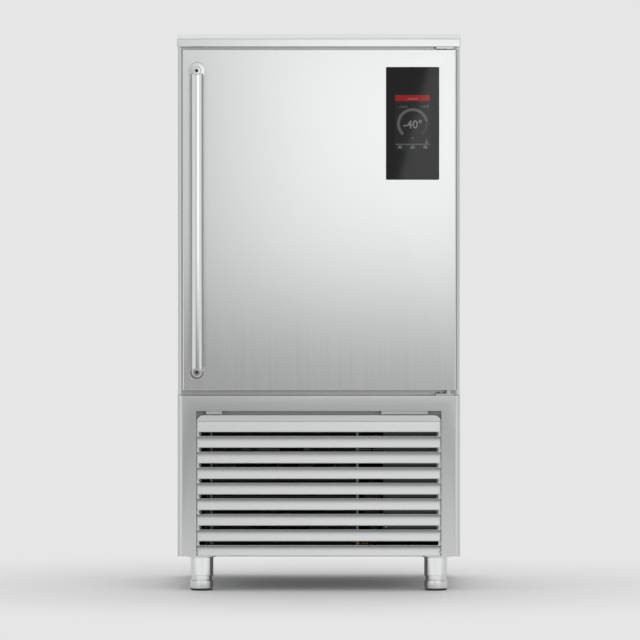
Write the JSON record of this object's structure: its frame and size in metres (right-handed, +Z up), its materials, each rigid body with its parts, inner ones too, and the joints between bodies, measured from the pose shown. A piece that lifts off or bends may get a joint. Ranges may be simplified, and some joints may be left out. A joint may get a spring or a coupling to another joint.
{
  "type": "blast chiller",
  "caption": "Upright blast chiller: insulated chamber with tray racks, fans and a cooling coil behind a hinged door, over a refrigeration unit with a tilting louvred front, on levelling feet.",
  "frame": {"origin": "on the floor, under the middle of the whole outline, with the feet at the bottom of their travel up", "axes": "+Z up, -Y is the side the door faces, +X is to the right of someone who faces the door"},
  "size_m": [0.78, 0.868, 1.538],
  "materials": {
    "brushed_stainless": "fine vertical brushing, satin",
    "bright_steel": "smooth bright stainless steel",
    "galvanised_steel": "dull zinc coating",
    "rigid_foam": "closed-cell polyurethane foam",
    "gasket_rubber": "matt, soft",
    "dark_glass": "glossy, tinted nearly black",
    "dark_plastic": "moulded, matt",
    "grey_plastic": "moulded, matt",
    "black_paint": "semi-gloss black enamel",
    "coil_fins": "close-set fins between end plates",
    "copper": "drawn copper tube",
    "circuit_board": "green laminate with moulded components"
  },
  "bodies": {
    "cabinet": {"side_panel_left": "brushed_stainless", "side_panel_right": "brushed_stainless", "top_cover": "brushed_stainless", "rear_panel": "galvanised_steel", "base_tray": "galvanised_steel", "compartment_roof": "galvanised_steel", "lower_front_frame": "brushed_stainless", "chamber_collar": "brushed_stainless", "inner_liner": "brushed_stainless", "cabinet_insulation": "rigid_foam", "drain_pipe": "grey_plastic", "cable_gland": "dark_plastic", "foot_sleeve_front_left": "bright_steel", "foot_sleeve_front_right": "bright_steel", "foot_sleeve_rear_left": "bright_steel", "foot_sleeve_rear_right": "bright_steel", "evaporator_coil": "coil_fins", "fan_shroud": "brushed_stainless", "evaporator_fan_motor_lower": "black_paint", "evaporator_fan_motor_upper": "black_paint", "fan_guard": "bright_steel", "tray_rack_left": "bright_steel", "tray_rack_right": "bright_steel", "hinge_bracket_top": "bright_steel", "hinge_bracket_bottom": "bright_steel", "condenser_coil": "coil_fins", "condenser_shroud": "galvanised_steel", "condenser_fan_motor": "black_paint", "compressor": "black_paint", "liquid_receiver": "black_paint", "filter_drier": "copper", "discharge_pipe": "copper", "condenser_outlet_pipe": "copper", "liquid_pipe": "copper", "suction_pipe": "copper", "electrical_box": "galvanised_steel", "electrical_cover": "galvanised_steel", "power_board": "circuit_board", "condensate_pan": "galvanised_steel"},
    "door": {"hinge_bush_top": "grey_plastic", "hinge_bush_bottom": "grey_plastic", "door_skin": "brushed_stainless", "door_insulation": "rigid_foam", "door_inner_panel": "brushed_stainless", "door_gasket": "gasket_rubber", "handle_bar": "bright_steel", "handle_mount_lower": "bright_steel", "handle_mount_upper": "bright_steel", "handle_screw_lower": "black_paint", "handle_screw_upper": "black_paint", "control_glass": "dark_glass", "control_module": "dark_plastic"},
    "louvre_front": {"louvre_panel": "brushed_stainless"},
    "condenser_fan_rotor": {"condenser_fan": "dark_plastic"},
    "evaporator_fan_lower_rotor": {"evaporator_fan_lower": "dark_plastic"},
    "evaporator_fan_upper_rotor": {"evaporator_fan_upper": "dark_plastic"},
    "foot_front_left": {"foot_insert_front_left": "bright_steel"},
    "foot_front_right": {"foot_insert_front_right": "bright_steel"},
    "foot_rear_left": {"foot_insert_rear_left": "bright_steel"},
    "foot_rear_right": {"foot_insert_rear_right": "bright_steel"}
  },
  "joints": [
    {"name": "door_hinge", "type": "hinge", "parent": "cabinet", "child": "door", "pos_m": [0.359, -0.358, 0], "axis": [0, 0, 1], "range_deg": [0, 110]},
    {"name": "louvre_panel_tilt", "type": "hinge", "parent": "cabinet", "child": "louvre_front", "pos_m": [0, -0.382, 0.109], "axis": [1, 0, 0], "range_deg": [0, 80]},
    {"name": "condenser_fan_spin", "type": "hinge", "parent": "cabinet", "child": "condenser_fan_rotor", "pos_m": [-0.095, -0.2027, 0.29865], "axis": [0, 1, 0], "continuous": true},
    {"name": "evaporator_fan_lower_spin", "type": "hinge", "parent": "cabinet", "child": "evaporator_fan_lower_rotor", "pos_m": [0, 0.1662, 0.81975], "axis": [0, 1, 0], "continuous": true},
    {"name": "evaporator_fan_upper_spin", "type": "hinge", "parent": "cabinet", "child": "evaporator_fan_upper_rotor", "pos_m": [0, 0.1662, 1.22725], "axis": [0, 1, 0], "continuous": true},
    {"name": "foot_front_left_level", "type": "slide", "parent": "cabinet", "child": "foot_front_left", "axis": [0, 0, -1], "range_m": [0, 0.035]},
    {"name": "foot_front_right_level", "type": "slide", "parent": "cabinet", "child": "foot_front_right", "axis": [0, 0, -1], "range_m": [0, 0.035]},
    {"name": "foot_rear_left_level", "type": "slide", "parent": "cabinet", "child": "foot_rear_left", "axis": [0, 0, -1], "range_m": [0, 0.035]},
    {"name": "foot_rear_right_level", "type": "slide", "parent": "cabinet", "child": "foot_rear_right", "axis": [0, 0, -1], "range_m": [0, 0.035]}
  ]
}
